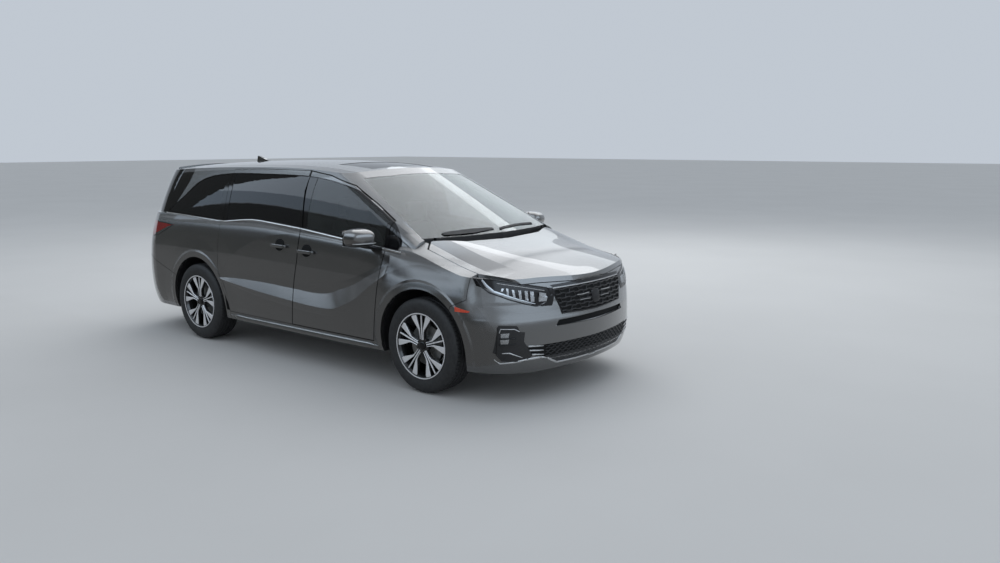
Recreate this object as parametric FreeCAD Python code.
"""Minivan with hinged front doors, fixed sliding doors, bonnet, tailgate, steered front wheels and seats.

Millimetres. +X is the front of the vehicle, +Y its left side, +Z up. The origin is on the ground,
under the middle of the vehicle's length and width.
"""
import FreeCAD, Part
import math
import os

V = FreeCAD.Vector
os.makedirs("parts", exist_ok=True)

# Overall sizes of the vehicle.
overall_length = 5213.0
body_width = 1994.0
wheelbase = 3000.0
front_overhang = 960.0
track = 1710.0
arch_radius = 440.0

# Wall thicknesses.
skin = 30.0
door_wall = 118.0
pillar_wall = 190.0
frame_wall = 46.0
door_frame_wall = 36.0
upper_pillar_wall = 125.0
tailgate_wall = 90.0
tailgate_frame_wall = 60.0
lamp_depth = 62.0
glass_wall = 6.0
glass_inset = 3.0
liner_wall = 6.0
grille_depth = 40.0
slot_set_back = 22.0
handle_length = 190.0
handle_height = 26.0
handle_reach = 36.0
handle_wall = 14.0
handle_foot = 26.0
floor_wall = 40.0

# Gaps between panels.
fixed_gap = 4.0
door_gap = 8.0
door_seal = 7.0
lid_gap = 7.0
seat_gap = 0.3

# Wheels.
tyre_radius = 370.5
tyre_width = 235.0
bead_radius = 241.3
bead_width = 208.0
rim_flange_radius = 256.0
rim_width = 230.0
hub_radius = 72.0
disc_radius = 160.0
disc_width = 28.0
disc_offset = 12.0
spoke_groups = 5
spoke_set_back = 10.0
spoke_depth = 26.0
rib_depth = 20.0
tyre_facets = 80

# Steering and suspension.
ball_joint_y = 780.0
ball_joint_z = 215.0
ball_radius = 18.0
strut_top_y = 622.0
strut_top_z = 800.0
arm_wall = 30.0
arm_bottom = ball_joint_z - ball_radius - seat_gap - arm_wall
subframe_bottom = 205.0
subframe_top = 265.0
rail_inner_y = 388.0
rail_bottom = 425.0
rail_top = 515.0

# Floor, bulkhead and engine.
floor_bottom = 290.0
bulkhead_x = 1480.0
bulkhead_wall = 25.0
engine_bottom = 330.0

# Steering wheel.
steering_x = 940.0
steering_y = 370.0
steering_z = 985.0
steering_tilt = 25.0
steering_radius = 180.0
steering_boss = 35.0

# Hinge axes.
door_axis_ahead = 55.0
door_axis_inset = 37.0
bonnet_axis_x = 1495.0
bonnet_axis_z = 1120.0
bonnet_hinge_y = 700.0
bonnet_sweep = 9.0
tailgate_axis_x = -2130.0
tailgate_axis_z = 1652.0
tailgate_hinge_y = 303.0
hinge_arm = 20.0
hinge_eye = 12.0
hinge_pin = 5.0
hinge_slot = 6.0

# Places that follow from the sizes above.
front_x = overall_length / 2
rear_x = -overall_length / 2
half_width = body_width / 2
front_axle_x = front_x - front_overhang
rear_axle_x = front_axle_x - wheelbase
wheel_y = track / 2
wheel_z = tyre_radius
outside = half_width + 300.0
sky = 2100.0


def line(p, q):
    return Part.LineSegment(p, q).toShape()


def arc(p, through, q):
    return Part.Arc(p, through, q).toShape()


def box(x0, x1, y0, y1, z0, z1):
    return Part.makeBox(x1 - x0, y1 - y0, z1 - z0, V(x0, y0, z0))


def cylinder_y(x, z, radius, y0, y1):
    return Part.makeCylinder(radius, y1 - y0, V(x, y0, z), V(0, 1, 0))


def rod(p, q, radius):
    return Part.makeCylinder(radius, (q - p).Length, p, q - p)


def mirrored(shape):
    """The same piece on the other side of the vehicle."""
    return shape.mirror(V(0, 0, 0), V(0, 1, 0))


def prism(points, way, grow):
    """The closed outline through the points, grown by a margin and pushed along a vector."""
    wire = Part.makePolygon(points + points[:1])
    if grow:
        wire = wire.makeOffset2D(grow, 2)
    return Part.Face(wire).extrude(way)


def side_prism(outline, grow=0.0, y0=0.0, y1=outside):
    """A block with a side view outline (x, z), between two widths."""
    return prism([V(x, y0, z) for x, z in outline], V(0, y1 - y0, 0), grow)


def plan_prism(outline, grow=0.0, z0=0.0, z1=sky):
    """A block with a plan view outline (x, y), between two heights."""
    return prism([V(x, y, z0) for x, y in outline], V(0, 0, z1 - z0), grow)


def end_prism(outline, x0, x1, grow=0.0):
    """A block with a front view outline (y, z), between two places along the vehicle."""
    return prism([V(x0, y, z) for y, z in outline], V(x1 - x0, 0, 0), grow)


def symmetric(outline):
    """A plan or front view outline from its points on the left side, with their mirror images."""
    def flip(point):
        return (point[0], -point[1])
    return outline + [flip(point) for point in reversed(outline) if point[1]]


def joined(*shapes):
    first, *others = shapes
    return first.fuse(list(others)) if others else first


def cleaned(shape, least=2000.0):
    """The shape without slivers."""
    return Part.Compound([s for s in shape.Solids if s.Volume > least])


def save(name, *shapes):
    found = [s for shape in shapes for s in shape.Solids]
    made = found[0] if len(found) == 1 else Part.Compound(found)
    made.exportStep("parts/" + name + ".step")


def save_sides(name, shape):
    save(name + "_left", shape)
    save(name + "_right", mirrored(shape))


def save_both(name, shape):
    save(name, shape, mirrored(shape))


# The body's plan outline at several heights.
# Columns: height; centre of the nose, behind the front end; end of the nose curve, behind the front end,
# and its half width; start of the side, behind the front end, and how far it is inside the half width;
# side at mid length, inside the half width; end of the side, ahead of the rear end, and inside the half
# width; start of the tail curve, ahead of the rear end, and its half width; centre of the tail.
LOWER_LEVELS = [
    (190, 95, 170, 560, 520, 120, 84, 560, 118, 170, 620, 118),
    (330, 25, 112, 600, 520, 56, 40, 530, 62, 85, 640, 30),
    (560, 0, 105, 610, 520, 28, 14, 506, 36, 62, 650, 0),
    (780, 26, 128, 600, 530, 24, 6, 496, 32, 80, 640, 20),
    (980, 100, 200, 580, 570, 52, 22, 496, 48, 118, 620, 50),
    (1230, 250, 350, 540, 650, 108, 80, 530, 112, 176, 590, 105),
]

# The cabin's plan outline above the belt line, with the same columns. The nose is the windscreen.
CABIN_LEVELS = [
    (1040, 676, 830, 862, 1005, 92, 62, 520, 108, 158, 600, 84),
    (1200, 996, 1148, 790, 1320, 116, 92, 560, 136, 178, 600, 104),
    (1400, 1398, 1536, 700, 1700, 168, 143, 620, 196, 240, 580, 146),
    (1560, 1719, 1846, 626, 2010, 232, 208, 670, 262, 300, 555, 200),
    (1660, 1920, 2040, 572, 2200, 292, 272, 700, 322, 340, 530, 240),
    (1740, 2080, 2190, 520, 2350, 370, 350, 730, 396, 372, 500, 270),
]


def bulged(p, q, ratio):
    """The middle of an arc from p to q that bulges to the right of the way from p to q."""
    chord = q - p
    return (p + q) * 0.5 + V(chord.y, -chord.x, 0) * ratio


def plan_wire(level, inset):
    (z, nose, edge_x, edge_y, side_x, side_in, mid_in, end_x, end_in, tail_x, tail_y, tail) = level
    lean = 0.36
    corner = 0.14
    nose_end = V(front_x - edge_x - inset, edge_y - lean * inset, z)
    side_start = V(front_x - side_x - 0.1 * inset, half_width - side_in - inset, z)
    side_mid = V(0, half_width - mid_in - inset, z)
    side_end = V(rear_x + end_x + 0.1 * inset, half_width - end_in - inset, z)
    tail_start = V(rear_x + tail_x + inset, tail_y - lean * inset, z)
    nose_mid = V(front_x - nose - inset, 0, z)
    tail_mid = V(rear_x + tail + inset, 0, z)
    flip = [V(p.x, -p.y, p.z) for p in (nose_end, side_start, side_mid, side_end, tail_start)]
    edges = [
        arc(flip[0], nose_mid, nose_end),
        arc(nose_end, bulged(nose_end, side_start, corner), side_start),
        arc(side_start, side_mid, side_end),
        arc(side_end, bulged(side_end, tail_start, corner), tail_start),
        arc(tail_start, tail_mid, flip[4]),
        arc(flip[4], bulged(flip[4], flip[3], corner), flip[3]),
        arc(flip[3], flip[2], flip[1]),
        arc(flip[1], bulged(flip[1], flip[0], corner), flip[0]),
    ]
    return Part.Wire(edges)


def hull(levels, inset=0.0):
    return Part.makeLoft([plan_wire(level, inset) for level in levels], True, False)


# The surface over the bonnet and the front wings. Columns: place along the vehicle; heights of the curve's
# poles at the middle and at the three widths to each side.
BONNET_WIDTHS = (440.0, 840.0, 1000.0)
BONNET_STATIONS = [
    (2750, 799, 800, 751, 731),
    (2530, 911, 914, 867, 851),
    (2330, 989, 992, 919, 891),
    (2100, 1049, 1050, 974, 924),
    (1800, 1112, 1110, 1083, 980),
    (1572, 1162, 1160, 1171, 1022),
    (1392, 1190, 1188, 1202, 1024),
]

# The crowned surface over the roof. Columns: place along the vehicle; height at the middle; height at the
# crown's span to each side.
crown_span = 1000.0
ROOF_STATIONS = [
    (2200, 1300, 1195),
    (1250, 1560, 1455),
    (600, 1686, 1580),
    (100, 1726, 1620),
    (-700, 1733, 1627),
    (-1500, 1712, 1604),
    (-2300, 1664, 1550),
    (-2700, 1622, 1502),
]


def bonnet_space(drop=0.0):
    """The space below the surface of the bonnet and the front wings."""
    widths = [-w for w in reversed(BONNET_WIDTHS)] + [0.0] + list(BONNET_WIDTHS)
    wires = []
    for x, *poles in BONNET_STATIONS:
        heights = list(reversed(poles[1:])) + poles
        curve = Part.BSplineCurve()
        curve.buildFromPoles([V(x, y, z - drop) for y, z in zip(widths, heights)], False, 3)
        a, b = curve.StartPoint, curve.EndPoint
        c, d = V(x, b.y, 0), V(x, a.y, 0)
        wires.append(Part.Wire([curve.toShape(), line(b, c), line(c, d), line(d, a)]))
    return Part.makeLoft(wires, True, False)


def crown(stations, drop=0.0):
    """The space below a crowned surface."""
    wires = []
    for x, middle, edge in stations:
        a = V(x, -crown_span, edge - drop)
        b = V(x, crown_span, edge - drop)
        c = V(x, crown_span, 0)
        d = V(x, -crown_span, 0)
        wires.append(Part.Wire([arc(a, V(x, 0, middle - drop), b), line(b, c), line(c, d), line(d, a)]))
    return Part.makeLoft(wires, True, False)


# Lines of the side view, (x, z).
belt_rear = (-2040, 1202)
belt_front = (1392, 1070)
BELT = [belt_rear, (-1060, 1173), (-900, 1178), (-640, 1206), (-474, 1214), (-330, 1210), (205, 1178), belt_front]
front_gap_top = (1256, 1069)
front_gap_bottom = (1118, 335)
pillar_gap_top = (112, 1661)
pillar_gap_belt = (208, 1178)
pillar_gap_bottom = (83, 335)
rear_gap_x = -974
rail_inner = 655
sill_top = 335
sill_bottom = 262
pillar_foot_x = 1545.0

# Rubber buffers of the doors on the middle pillar, (x, z).
DOOR_BUFFERS = [(230, 1000), (200, 600), (185, 1000), (125, 600)]


def below_belt(drop=0.0):
    outline = [(rear_x - 100, belt_rear[1] - drop)] + [(x, z - drop) for x, z in BELT]
    outline += [(belt_front[0], 0), (rear_x - 100, 0)]
    return side_prism(outline, 0, -outside, outside)


made_hulls = {}


def lower_body(inset):
    """The body below the bonnet and the belt line, smaller by an inset on every side."""
    key = ("lower", inset)
    if key not in made_hulls:
        solid = hull(LOWER_LEVELS, inset)
        ahead = bonnet_space(inset).common(box(belt_front[0], front_x + 300, -outside, outside, 0, sky))
        made_hulls[key] = solid.common(joined(ahead, below_belt(inset)))
    return made_hulls[key]


def lower_ring(inset):
    """The body's sides, ends and corners below the belt line, with no lid, smaller by an inset."""
    key = ("ring", inset)
    if key not in made_hulls:
        made_hulls[key] = hull(LOWER_LEVELS, inset)
    return made_hulls[key]


def cabin(inset):
    """The body above the belt line, smaller by an inset on every side."""
    key = ("cabin", inset)
    if key not in made_hulls:
        made_hulls[key] = hull(CABIN_LEVELS, inset).common(crown(ROOF_STATIONS, inset))
    return made_hulls[key]


# Outlines of panels. The door line runs a little above the window line.
FRONT_DOOR = [
    front_gap_bottom, front_gap_top, (1240, 1290), (997, 1413), (703, 1550), (402, 1626),
    pillar_gap_top, pillar_gap_belt, (208, 900), pillar_gap_bottom,
]
SLIDING_DOOR = [
    pillar_gap_bottom, (208, 900), pillar_gap_belt, pillar_gap_top, (-500, 1665), (-985, 1655),
    (rear_gap_x, 1178), (rear_gap_x, 700), (-925, 560), (-858, 400), (-853, 335),
]
FRONT_WINDOW = [
    (1205, 1098), (1205, 1292), (997, 1395), (703, 1530), (402, 1589), (250, 1604), (262, 1186),
]
SLIDING_WINDOW = [
    (150, 1196), (138, 1612), (-400, 1619), (-925, 1615), (-918, 1190), (-640, 1220), (-474, 1228), (-330, 1224),
]
QUARTER_WINDOW = [(-1050, 1188), (-1052, 1607), (-1322, 1582), (-1504, 1533), (-1699, 1412), (-1990, 1226)]
FRONT_HANDLE = (330, 991)
SLIDING_HANDLE = (-38, 1015)
CORNER_WINDOW = [(1384, 1086), (1276, 1096), (1276, 1246)]
FENDER = [
    front_gap_bottom, front_gap_top, (1256, 1250), (2135, 1100), (2122, 930), (2110, 780), (1960, 715),
    (1900, 500), (1900, 200), (1118, 200),
]
REAR_BUMPER = [(-1700, 180), (-1735, 600), (-2250, 762), (-2700, 790), (-2700, 150), (-1700, 150)]
TAIL_LAMP = [(-1788, 1097), (-2245, 1122), (-2700, 1132), (-2700, 912), (-2400, 935), (-2210, 958), (-1900, 1072)]

# Plan view outlines, left half, (x, y).
BONNET = symmetric([
    (2545, 0), (2534, 430), (2500, 600), (2360, 742), (2130, 846), (1640, 850), (1572, 752), (1690, 480), (1738, 0),
])
WINDSCREEN = symmetric([(745, 0), (728, 340), (676, 619), (1760, 851)])
cowl_half = 790.0
COWL_TRAY = symmetric([(1758, 0), (1710, 480), (1620, cowl_half), (1490, cowl_half), (1490, 0)])
COWL_UPSTAND = symmetric([
    (1680, 0), (1636, 400), (1590, 600), (1528, cowl_half), (1500, cowl_half), (1565, 600), (1611, 400), (1655, 0),
])
ROOF = symmetric([(745, 0), (728, 340), (676, 590), (-2229, 590), (-2229, 0)])
SUNROOF = symmetric([(560, 0), (553, 400), (120, 412)])
tailgate_half = 575.0
tailgate_bottom = 620.0
tailgate_edge_x = -2236.0

# Front view outlines, left half, (y, z).
HEADLAMP = [(925, 944), (860, 935), (500, 850), (468, 800), (500, 762), (620, 728), (925, 884)]
UPPER_GRILLE = [(0, 846), (452, 838), (452, 790), (400, 652), (0, 640)]
GRILLE_SLOT = [(0, 614), (430, 608), (462, 566), (0, 560)]
LOWER_GRILLE = [(0, 436), (560, 440), (704, 438), (700, 396), (560, 330), (0, 322)]
FOG_BEZEL = [(716, 548), (868, 575), (880, 400), (770, 342), (712, 380), (726, 440)]
TAILGATE = [(0, tailgate_bottom), (tailgate_half, tailgate_bottom), (tailgate_half, sky), (0, sky)]
REAR_WINDOW = [(0, 1196), (500, 1206), (470, 1585), (0, 1602)]


def front_view(outline):
    """The outline with its mirror image, across the middle."""
    return outline + [(-y, z) for y, z in reversed(outline) if y]


def wheel_arches(radius, y0=0.0):
    return [cylinder_y(x, wheel_z, radius, y0, outside) for x in (front_axle_x, rear_axle_x)]


bonnet_opening = plan_prism(BONNET, lid_gap).cut(bonnet_space(skin + 5.0))
tailgate_opening = end_prism(front_view(TAILGATE), rear_x - 100, -1900, lid_gap).cut(
    box(tailgate_edge_x + lid_gap, 0, -outside, outside, 0, sky)
)


def patch(block, outer, *cutters):
    """The part of an outer solid inside a block, without what the cutters take away."""
    return outer.common(block).cut(list(cutters))


def hinge_plates(outline, y, width):
    """A plate with a side view outline at each side of the vehicle, its middle at a given width."""
    return [side_prism(outline, 0, side * y - width / 2, side * y + width / 2) for side in (1, -1)]


def hinge_rounds(x, z, y, width, radius):
    return [cylinder_y(x, z, radius, side * y - width / 2, side * y + width / 2) for side in (1, -1)]


def bonnet():
    """The lid, with two hinge arms that pass below the foot of the windscreen."""
    panel = patch(bonnet_space().common(plan_prism(BONNET, 0, 800)), lower_ring(0), bonnet_space(skin))
    x, z = bonnet_axis_x, bonnet_axis_z
    arm = hinge_plates([
        (x, z - hinge_eye), (x + 20, z - 30), (x + 100, z - 30), (x + 150, z - 8), (x + 150, z + 12),
        (x + 106, z + 12), (x + 98, z - 15), (x + 20, z - 15), (x, z + hinge_eye),
    ], bonnet_hinge_y, hinge_arm)
    eyes = hinge_rounds(x, z, bonnet_hinge_y, hinge_arm, hinge_eye)
    holes = hinge_rounds(x, z, bonnet_hinge_y, hinge_arm + 2, hinge_pin + seat_gap)
    return joined(panel, *arm, *eyes).cut(holes)


def fender():
    block = side_prism(FENDER, -fixed_gap / 2, cowl_half + seat_gap)
    lid = plan_prism(BONNET, lid_gap)
    swept = lid.copy()
    swept.translate(V(-bonnet_sweep, 0, 0))
    panel = patch(
        block, lower_body(0), lower_body(skin), lid, swept,
        cabin(-fixed_gap).common(box(1000, pillar_foot_x + fixed_gap, 0, outside, 1000, sky)),
        end_prism(HEADLAMP, 1900, front_x + 50, seat_gap), *wheel_arches(arch_radius),
        side_prism(FRONT_DOOR, door_gap / 2), box(1000, 1250, 0, outside, 0, sill_top - door_gap / 2),
    )
    return cleaned(panel, 50000)


def front_bumper():
    cutters = [lower_body(skin), bonnet_opening]
    for side in (1, -1):
        cutters.append(side_prism(FENDER, fixed_gap / 2, 0, side * outside))
        cutters.append(cylinder_y(front_axle_x, wheel_z, arch_radius, min(0, side * outside), max(0, side * outside)))
        for outline in (HEADLAMP, FOG_BEZEL):
            cutters.append(end_prism([(side * y, z) for y, z in outline], 1900, front_x + 50, seat_gap))
    for grille in (UPPER_GRILLE, GRILLE_SLOT, LOWER_GRILLE):
        cutters.append(end_prism(front_view(grille), 1900, front_x + 50, seat_gap))
    region = box(1800, front_x + 50, -outside, outside, 232, 960)
    return cleaned(patch(region, lower_body(0), *cutters), 200000)


def front_insert(outline, depth, inset=0.0):
    """A piece that fills an opening of the nose, to a depth behind its skin."""
    block = end_prism(outline, 1900, front_x + 50)
    return cleaned(patch(block, lower_body(inset), lower_body(depth), bonnet_opening))


def body_side():
    """Quarter panel, sill, pillars and roof rail of the left side, in one piece."""
    doors = joined(side_prism(FRONT_DOOR, door_gap / 2, rail_inner), side_prism(SLIDING_DOOR, fixed_gap / 2, rail_inner))
    below = below_belt()
    quarter = patch(
        side_prism([(-2700, sill_bottom), (-2700, 1260), (-900, 1260), (-900, sill_bottom)], 0, 400),
        lower_ring(0), lower_ring(door_wall), doors,
    ).common(below)
    below_fender = box(front_gap_bottom[0], 1300, 0, outside, sill_top - door_gap / 2 - seat_gap, 400)
    sill = patch(box(-1000, 1230, 400, outside, sill_bottom, 345), lower_ring(0), lower_ring(door_wall), doors,
                 below_fender.cut(lower_ring(skin + seat_gap)))
    frame_block = side_prism([(-960, sill_bottom), (-960, 1200), (1270, 1200), (1200, sill_bottom)], 0, 400)
    hollow = side_prism([(1105, 400), (1150, 640), (1180, 1000), (240, 1150), (250, 860), (225, 400)])
    hollow_rear = side_prism([(60, 400), (165, 860), (155, 1150), (-880, 1150), (-880, 400)])
    frame = patch(frame_block, lower_ring(skin + 6), lower_ring(pillar_wall), hollow, hollow_rear,
                  doors.cut(lower_ring(door_wall + door_seal))).common(below)
    pillar_block = side_prism([
        (front_gap_bottom[0] + door_gap / 2, sill_bottom), (front_gap_top[0] + door_gap / 2, 1060), (1420, 1060),
        (1420, 900), (1215, sill_bottom),
    ], 0, 400)
    hinge_pillar = patch(pillar_block, lower_ring(skin + seat_gap), lower_ring(door_wall), doors).common(
        bonnet_space(skin + seat_gap + 1))
    upper = patch(box(-2700, pillar_foot_x, 0, outside, 1040, sky), cabin(0), cabin(frame_wall), doors)
    pillar = patch(side_prism([(160, 1041), (90, 1680), (230, 1680), (250, 1041)], 0, 300), cabin(0),
                   cabin(upper_pillar_wall), doors.cut(cabin(frame_wall + door_seal)),
                   doors.common(below).cut(lower_ring(door_wall + door_seal)))
    buffers = [rod(V(x, 700, z), V(x, outside, z), 8) for x, z in DOOR_BUFFERS]
    buffers = [b.common(lower_ring(door_wall + seat_gap)).cut(lower_ring(door_wall + 20)) for b in buffers]
    arch = arch_radius + liner_wall + seat_gap
    whole = joined(quarter, sill, frame, hinge_pillar, upper, pillar, *buffers).cut([
        side_prism(QUARTER_WINDOW), side_prism(CORNER_WINDOW),
        side_prism(TAIL_LAMP, seat_gap), side_prism(REAR_BUMPER, fixed_gap / 2),
        plan_prism(WINDSCREEN, seat_gap, 1166), plan_prism(ROOF, fixed_gap, 1300), tailgate_opening,
        box(1450, 1800, 0, 800, 900, 1166), plan_prism(BONNET, lid_gap + bonnet_sweep),
        cylinder_y(rear_axle_x, wheel_z, arch_radius, 0, outside),
        cylinder_y(rear_axle_x, wheel_z, arch, 0, outside).common(lower_ring(skin)),
        cylinder_y(front_axle_x, wheel_z, arch, 0, outside),
    ])
    return cleaned(whole, 100000)


def handle(x, z):
    """A door handle's bar, clear of the door between its two feet."""
    bottom, top = z - handle_height / 2, z + handle_height / 2
    def upright(x0, x1):
        return side_prism([(x0, bottom), (x1, bottom), (x1, top), (x0, top)], 0, 700)
    ends = x - handle_length / 2, x + handle_length / 2
    bar = patch(upright(*ends), lower_ring(-handle_reach), lower_ring(handle_wall - handle_reach))
    feet = joined(upright(ends[0], ends[0] + handle_foot), upright(ends[1] - handle_foot, ends[1]))
    return joined(bar, patch(feet, lower_ring(-handle_reach), lower_ring(skin)))


def front_door():
    outline = side_prism(FRONT_DOOR, -door_gap / 2, rail_inner + door_gap / 2)
    rear_edge = side_prism([(50, 300), (91, 335), (216, 900), (216, 1178), (134, 1700), (50, 1700)])
    lower = patch(outline, lower_ring(0), lower_ring(door_wall)).common(below_belt())
    upper = patch(outline, cabin(0), cabin(door_frame_wall))
    return cleaned(joined(lower, upper, handle(*FRONT_HANDLE)).cut([side_prism(FRONT_WINDOW), rear_edge]), 50000)


def sliding_door():
    outline = side_prism(SLIDING_DOOR, -fixed_gap / 2, rail_inner + fixed_gap / 2)
    lower = patch(outline, lower_ring(0), lower_ring(door_wall)).common(below_belt())
    upper = patch(outline, cabin(0), cabin(frame_wall))
    return cleaned(joined(lower, upper, handle(*SLIDING_HANDLE)).cut(side_prism(SLIDING_WINDOW)), 50000)


def glass_pane(block):
    """A pane seated in its window, a little below the surface of the body."""
    return cleaned(patch(block, cabin(glass_inset), cabin(glass_inset + glass_wall)), 500)


def side_pane(outline):
    return glass_pane(side_prism(outline, -seat_gap))


def roof():
    """The roof, with slots at its rear end for the tailgate's hinge arms and a pin across each."""
    block = plan_prism(ROOF, 0, 1300)
    x, z = tailgate_axis_x, tailgate_axis_z
    slots = hinge_plates(
        [(rear_x, 1500), (x + hinge_eye + hinge_slot, 1500), (x + hinge_eye + hinge_slot, sky), (rear_x, sky)],
        tailgate_hinge_y, hinge_arm + 2 * hinge_slot)
    pins = hinge_rounds(x, z, tailgate_hinge_y, hinge_arm + 2 * hinge_slot + 10, hinge_pin)
    panel = patch(block, cabin(0), cabin(frame_wall), plan_prism(WINDSCREEN, seat_gap, 1166),
                  plan_prism(SUNROOF, seat_gap, 1300), tailgate_opening, *slots)
    return cleaned(joined(panel, *pins), 50000)


def sunroof(pane=20.0):
    return cleaned(patch(plan_prism(SUNROOF, 0, 1300), cabin(glass_inset), cabin(glass_inset + pane)), 500)


def cowl():
    """The tray between bonnet and windscreen, its upstand to the glass, and the bulkhead below it."""
    tray = patch(plan_prism(COWL_TRAY, 0, 900), bonnet_space(skin + 5), bonnet_space(skin + 25))
    upstand = patch(plan_prism(COWL_UPSTAND, 0, 1000, 1165.7), cabin(0), bonnet_space(skin + 25))
    bulkhead = patch(box(bulkhead_x, bulkhead_x + bulkhead_wall, -outside, outside, 300, 1150), lower_ring(pillar_wall + 4))
    bulkhead = bulkhead.common(bonnet_space(skin + 15))
    arch = arch_radius + liner_wall + seat_gap
    arches = [cylinder_y(front_axle_x, wheel_z, arch, y0, y1) for y0, y1 in ((480, outside), (-outside, -480))]
    x, z = bonnet_axis_x, bonnet_axis_z
    slots = hinge_plates([(x - 20, z - 45), (x + 170, z - 45), (x + 170, sky), (x - 20, sky)],
                         bonnet_hinge_y, hinge_arm + 2 * hinge_slot)
    pins = hinge_rounds(x, z, bonnet_hinge_y, hinge_arm + 2 * hinge_slot + 10, hinge_pin)
    return cleaned(joined(joined(tray, upstand, bulkhead).cut(arches + slots), *pins), 50000)


def tailgate_lamp_block(grow=0.0):
    block = side_prism(TAIL_LAMP, grow, 300, tailgate_half + 50)
    return joined(block, mirrored(block)).cut(lower_ring(45 + grow))


def tailgate():
    outline = end_prism(front_view(TAILGATE), rear_x - 100, tailgate_edge_x)
    lower = patch(outline, lower_ring(0), lower_ring(tailgate_wall)).common(below_belt())
    upper = patch(outline, cabin(0), cabin(tailgate_frame_wall))
    spoiler = patch(box(rear_x - 50, -2290, -540, 540, 1612, sky), cabin(-16), cabin(20))
    window = end_prism(front_view(REAR_WINDOW), rear_x - 100, -2000)
    x, z = tailgate_axis_x, tailgate_axis_z
    arms = hinge_plates([(tailgate_edge_x - 20, z - hinge_eye), (x, z - hinge_eye), (x, sky), (tailgate_edge_x - 20, sky)],
                        tailgate_hinge_y, hinge_arm)
    arms += hinge_rounds(x, z, tailgate_hinge_y, hinge_arm, hinge_eye)
    holes = hinge_rounds(x, z, tailgate_hinge_y, hinge_arm + 2, hinge_pin + seat_gap)
    panel = joined(lower, upper, spoiler, *[arm.common(cabin(0)) for arm in arms])
    return cleaned(panel.cut([window, tailgate_lamp_block(seat_gap)] + holes), 50000)


def tailgate_lamps():
    block = tailgate_lamp_block().common(box(rear_x - 100, -2000, -tailgate_half, tailgate_half, 0, sky))
    return cleaned(lower_ring(0).common(block), 500)


def tail_lamp():
    block = side_prism(TAIL_LAMP, 0, tailgate_half + lid_gap)
    return cleaned(patch(block, lower_ring(0), lower_ring(45)), 500)


def rear_window():
    return glass_pane(end_prism(front_view(REAR_WINDOW), rear_x - 100, -2000, -seat_gap))


def rear_bumper():
    left = side_prism(REAR_BUMPER, -fixed_gap / 2, 0, outside)
    arch = cylinder_y(rear_axle_x, wheel_z, arch_radius, -outside, outside)
    cover = patch(joined(left, mirrored(left)), lower_body(0), lower_body(skin),
                  box(-2700, -1600, -outside, outside, 0, 262), tailgate_opening, arch)
    return cleaned(cover, 50000)


def wheel_arch_liner(axle_x):
    low = 286.0
    inner_y = 491.0
    space = lower_ring(skin + seat_gap)
    pot = cylinder_y(axle_x, wheel_z, arch_radius + liner_wall, inner_y, outside)
    pot = pot.cut(cylinder_y(axle_x, wheel_z, arch_radius, inner_y + liner_wall, outside))
    return pot.common(space).common(box(axle_x - 500, axle_x + 500, 0, outside, low, sky))


def floor_pan():
    pan = lower_ring(pillar_wall + 1.0).common(box(
        rear_x + 220, bulkhead_x - seat_gap, -outside, outside, floor_bottom, floor_bottom + floor_wall,
    ))
    for axle_x in (front_axle_x, rear_axle_x):
        for y0, y1 in ((490.5, outside), (-outside, -490.5)):
            pan = pan.cut(cylinder_y(axle_x, wheel_z, arch_radius + liner_wall + seat_gap, y0, y1))
    return cleaned(pan, 50000)


def revolved(profile, x, y, z):
    """A solid of revolution about a line along Y. The profile is (radius, y from the middle)."""
    points = [V(x + r, y + across, z) for r, across in profile]
    face = Part.Face(Part.makePolygon(points + points[:1]))
    return face.revolve(V(x, y, z), V(0, 1, 0), 360)


def faceted_ring(profile, sides, x, y, z):
    """A ring of flat faces about a line along Y, from a closed profile of (radius, y from the middle)."""
    def corner(step, place):
        angle = 2 * math.pi * step / sides
        radius, across = profile[place % len(profile)]
        return V(x + radius * math.sin(angle), y + across, z - radius * math.cos(angle))
    faces = []
    for step in range(sides):
        for place in range(len(profile)):
            quad = [corner(step, place), corner(step + 1, place), corner(step + 1, place + 1), corner(step, place + 1)]
            faces.append(Part.Face(Part.makePolygon(quad + quad[:1])))
    ring = Part.Solid(Part.makeShell(faces))
    if ring.Volume < 0:
        ring.reverse()
    return ring


def tyre(x, y):
    half = tyre_width / 2
    bead = bead_width / 2
    profile = [
        (bead_radius, -bead), (300, -half), (360, -half + 15), (tyre_radius, -half + 42),
        (tyre_radius, half - 42), (360, half - 15), (300, half), (bead_radius, bead),
    ]
    return faceted_ring(profile, tyre_facets, x, y, wheel_z)


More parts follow.
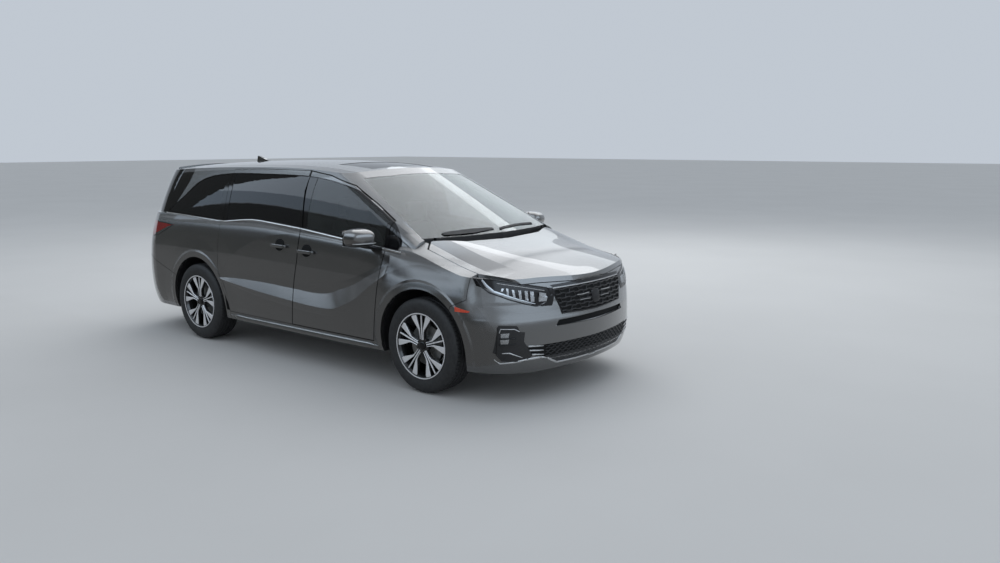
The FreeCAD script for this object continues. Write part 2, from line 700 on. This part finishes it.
def rim(x, y):
    """Rim, spokes, hub and brake disc of a left wheel, in one piece."""
    half = rim_width / 2
    bead = bead_width / 2
    barrel_radius = bead_radius - seat_gap
    inner_radius = barrel_radius - 13.0
    profile = [
        (inner_radius, -half), (rim_flange_radius, -half), (rim_flange_radius, -half + 6),
        (barrel_radius, -bead - 3), (barrel_radius, bead + 3), (rim_flange_radius, half - 6),
        (rim_flange_radius, half), (inner_radius, half - 4),
    ]
    barrel = revolved(profile, x, y, wheel_z)
    hub = cylinder_y(x, wheel_z, hub_radius, y + 20, y + half - 12)
    disc = cylinder_y(x, wheel_z, disc_radius, y + disc_offset, y + disc_offset + disc_width)
    end = inner_radius + 25
    rib = [(hub_radius - 20, -6), (end, -8), (end, 8), (hub_radius - 20, 6)]
    arm = [(hub_radius - 20, 8), (132, 12), (end, 52), (end, 96), (130, 34), (hub_radius - 20, 26)]
    outlines = [(rib, rib_depth), (arm, spoke_depth), ([(r, -across) for r, across in arm], spoke_depth)]
    spokes = []
    for group in range(spoke_groups):
        for outline, depth in outlines:
            spoke = prism([V(r, y + half - spoke_set_back - depth, across) for r, across in outline], V(0, depth, 0), 0)
            spoke.rotate(V(0, 0, 0), V(0, 1, 0), 360.0 / spoke_groups * group - 90)
            spoke.translate(V(x, 0, wheel_z))
            spokes.append(spoke)
    inside = cylinder_y(x, wheel_z, inner_radius + 5, y, y + half)
    return joined(barrel, hub, disc, joined(*spokes).common(inside))


def knuckle():
    """Hub carrier with the strut and spring on the steering axis, left side."""
    foot = V(front_axle_x, ball_joint_y, ball_joint_z)
    top = V(front_axle_x, strut_top_y, strut_top_z)
    way = (top - foot).normalize()
    ball = Part.makeSphere(ball_radius, foot)
    hub_y = wheel_y + disc_offset - seat_gap
    carrier = cylinder_y(front_axle_x, wheel_z, 52, hub_y - 152, hub_y)
    lower = rod(foot, foot + way * 120, 14)
    strut = rod(foot + way * 110, top, 24)
    spring = rod(foot + way * 395, top - way * 22, 58)
    return joined(ball, lower, carrier, strut, spring)


def front_subframe():
    """Subframe with its lower arms, the side rails ahead of the bulkhead and the bumper beam."""
    behind_grille = lower_ring(grille_depth + 1.5)
    rear = front_axle_x - 210
    parts = [
        box(rear, front_axle_x + 190, -400, 400, subframe_bottom, subframe_top),
        patch(box(2300, front_x, -560, 560, rail_bottom, rail_top), behind_grille, lower_ring(grille_depth + 40)),
    ]
    for side in (1, -1):
        y0, y1 = sorted((side * rail_inner_y, side * (rail_inner_y + 80)))
        parts.append(box(bulkhead_x + bulkhead_wall + seat_gap, 2560, y0, y1, rail_bottom, rail_top).common(behind_grille))
        parts.append(box(front_axle_x - 60, front_axle_x + 60, y0, y1, subframe_bottom, rail_bottom))
        for x in (front_axle_x - 40, front_axle_x + 120):
            mount_y0, mount_y1 = sorted((side * 200, side * 280))
            parts.append(box(x, x + 60, mount_y0, mount_y1, subframe_top, engine_bottom - seat_gap))
        arm = prism([
            V(front_axle_x - 190, side * 390, arm_bottom), V(front_axle_x + 60, side * 390, arm_bottom),
            V(front_axle_x + 40, side * 620, arm_bottom), V(front_axle_x + 28, side * (ball_joint_y + 24), arm_bottom),
            V(front_axle_x - 28, side * (ball_joint_y + 24), arm_bottom), V(front_axle_x - 40, side * 640, arm_bottom),
        ], V(0, 0, arm_wall), 0)
        y0, y1 = sorted((side * 330, side * 400))
        parts += [arm, box(front_axle_x - 180, front_axle_x + 50, y0, y1, arm_bottom, subframe_bottom + 5)]
    return joined(*parts)


def rear_suspension():
    beam = box(rear_axle_x - 60, rear_axle_x + 60, -700, 700, 212, 272)
    parts = [beam]
    for side in (1, -1):
        y0, y1 = sorted((side * 640, side * 700))
        parts.append(box(rear_axle_x - 50, rear_axle_x + 50, y0, y1, 212, 420))
        spindle_y0, spindle_y1 = sorted((side * 660, side * (wheel_y + disc_offset - seat_gap)))
        parts.append(cylinder_y(rear_axle_x, wheel_z, 50, spindle_y0, spindle_y1))
        y0, y1 = sorted((side * 560, side * 620))
        parts.append(box(rear_axle_x + 40, rear_axle_x + 560, y0, y1, 225, 270))
        parts.append(box(rear_axle_x + 480, rear_axle_x + 560, y0, y1, 260, floor_bottom - seat_gap))
    return joined(*parts)


def seat(x, y, width, base_z=420.0):
    """A seat: cushion, backrest and headrest."""
    cushion = box(x - 260, x + 260, y - width / 2, y + width / 2, base_z, base_z + 150)
    riser = box(x - 220, x + 200, y - width / 2 + 60, y + width / 2 - 60,
                floor_bottom + floor_wall + seat_gap, base_z)
    back = prism([V(x - 250, y - width / 2 + 10, base_z + 60), V(x - 120, y - width / 2 + 10, base_z + 60),
                  V(x - 260, y - width / 2 + 10, base_z + 740), V(x - 370, y - width / 2 + 10, base_z + 740)],
                 V(0, width - 20, 0), 0)
    rest = box(x - 385, x - 285, y - 130, y + 130, base_z + 730, base_z + 930)
    return joined(riser, cushion, back, rest)


def along_column(distance):
    """A point on the steering axis, ahead of the wheel and below it."""
    tilt = math.radians(steering_tilt)
    return V(steering_x + distance * math.cos(tilt), steering_y, steering_z - distance * math.sin(tilt))


def dashboard():
    back_x = bulkhead_x - seat_gap
    board = prism([
        V(back_x, -740, 825), V(back_x, -740, 1040), V(1300, -740, 1065), V(1060, -740, 1000), V(1040, -740, 860),
        V(1180, -740, 700), V(1300, -740, 700), V(1330, -740, 825),
    ], V(0, 1480, 0), 0)
    floor_top = floor_bottom + floor_wall + seat_gap
    console = joined(box(500, 1250, -100, 100, floor_top, 700), box(1050, 1300, -100, 100, 600, 860))
    column = rod(along_column(steering_boss + seat_gap), along_column(160), 34)
    return joined(board, console, column)


def steering_wheel():
    turns = [math.pi / 5 * step for step in range(10)]
    edge = [V(15 * math.cos(a), steering_radius + 15 * math.sin(a), 0) for a in turns]
    ring = Part.Face(Part.makePolygon(edge + edge[:1])).revolve(V(0, 0, 0), V(1, 0, 0), 360)
    boss = Part.makeCylinder(55, steering_boss + 10, V(-10, 0, 0), V(1, 0, 0))
    reach = steering_radius - 2
    wheel = joined(ring, boss, box(-6, 14, -reach, reach, -22, 22), box(-6, 14, -22, 22, -reach, 0))
    wheel.rotate(V(0, 0, 0), V(0, 1, 0), steering_tilt)
    wheel.translate(along_column(0))
    return wheel


def exhaust():
    """Silencer across the rear with its pipe running forward under the floor."""
    radius = 26.0
    y = -300.0
    silencer = cylinder_y(-2230, 237.7, 52, -420, 420)
    route = [V(-2230, y, 237), V(-1640, y, 237), V(-1500, y, 181), V(-1220, y, 181), V(-1080, y, 237), V(front_axle_x - 210 - seat_gap, y, 237)]
    parts = [silencer]
    parts += [rod(p, q, radius) for p, q in zip(route, route[1:])]
    parts += [Part.makeSphere(radius, p) for p in route[1:-1]]
    return joined(*parts)


def wiper(outline):
    return cleaned(patch(plan_prism(outline, 0, 1185), cabin(-14), cabin(glass_inset - seat_gap)), 500)


def rear_wiper():
    outline = [(-10, 1212), (10, 1212), (16, 1236), (-400, 1252), (-400, 1240), (-10, 1226)]
    return cleaned(patch(end_prism(outline, rear_x - 100, -2000), cabin(-14), cabin(glass_inset - seat_gap)), 500)


def antenna_fin():
    outline = [(-1432, 1690), (-1440, 1716), (-1500, 1730), (-1600, 1762), (-1632, 1767), (-1652, 1690)]
    return cleaned(side_prism(outline, 0, -14, 14).cut(cabin(-seat_gap)), 500)


def mirror():
    head = plan_prism([(1105, 1012), (1270, 1040), (1297, 1150), (1200, 1238), (1110, 1240), (1080, 1060)], 0, 1094, 1252)
    foot = plan_prism([(1215, 905), (1075, 905), (1100, 1060), (1200, 1060)], 0, 1072, 1096)
    shell = end_prism([(1012, 1110), (1060, 1094), (1205, 1097), (1238, 1126), (1240, 1205), (1205, 1248),
                       (1060, 1252), (1018, 1225)], 1000, 1400)
    return joined(head.common(shell), foot.cut(cabin(-seat_gap)).cut(lower_body(-seat_gap)))


save("bonnet", bonnet())
save_sides("fender", fender())
save("front_bumper", front_bumper())
save_both("headlamps", front_insert(HEADLAMP, lamp_depth))
save_both("fog_lamp_bezels", front_insert(FOG_BEZEL, skin + 20, 2))
save("upper_grille", front_insert(front_view(UPPER_GRILLE), grille_depth, 4))
save("grille_slot", front_insert(front_view(GRILLE_SLOT), grille_depth, slot_set_back))
save("lower_grille", front_insert(front_view(LOWER_GRILLE), grille_depth, 6))
save_sides("body_side", body_side())
save_sides("front_door", front_door())
save_sides("sliding_door", sliding_door())
save_sides("front_door_glass", side_pane(FRONT_WINDOW))
save_both("sliding_door_glass", side_pane(SLIDING_WINDOW))
quarter_panes = [side_pane(QUARTER_WINDOW), side_pane(CORNER_WINDOW)]
save("quarter_glass", *quarter_panes, *[mirrored(pane) for pane in quarter_panes])
save("windscreen", glass_pane(plan_prism(WINDSCREEN, 0, 1168)))
save("roof_panel", roof())
save("sunroof_glass", sunroof())
save("cowl_bulkhead", cowl())
save("tailgate", tailgate())
save("tailgate_glass", rear_window())
save("tailgate_lamps", tailgate_lamps())
save_both("tail_lamps", tail_lamp())
save("rear_bumper", rear_bumper())
save("wheel_arch_liners", *[s for x in (front_axle_x, rear_axle_x)
                            for s in (wheel_arch_liner(x), mirrored(wheel_arch_liner(x)))])
save("floor_pan", floor_pan())
for place, x in (("front", front_axle_x), ("rear", rear_axle_x)):
    save_sides(place + "_tyre", tyre(x, wheel_y))
    save_sides(place + "_rim", rim(x, wheel_y))
save_sides("knuckle", knuckle())
save("front_subframe", front_subframe())
save("rear_suspension", rear_suspension())
save("exhaust", exhaust())
save("fuel_tank", box(-700, 20, -140, 540, 175, floor_bottom - seat_gap))
save("radiator", box(2395, 2435, seat_gap - rail_inner_y, rail_inner_y - seat_gap, 300, 800))
save("wipers", wiper([(1640, 20), (1560, 560), (1542, 556), (1620, 20)]), wiper([(1640, -600), (1628, -60), (1608, -60), (1540, -600)]))
save("rear_wiper", rear_wiper())
save("antenna_fin", antenna_fin())
save("engine_block", box(1560, 2200, -370, 370, engine_bottom, 900))
save("front_seats", seat(640, 370, 520), seat(640, -370, 520))
save("middle_seats", seat(-330, 370, 520), seat(-330, -370, 520))
save("rear_seats", seat(-1180, 0, 950))
save("dashboard", dashboard())
save("steering_wheel", steering_wheel())
save_sides("mirror", mirror())
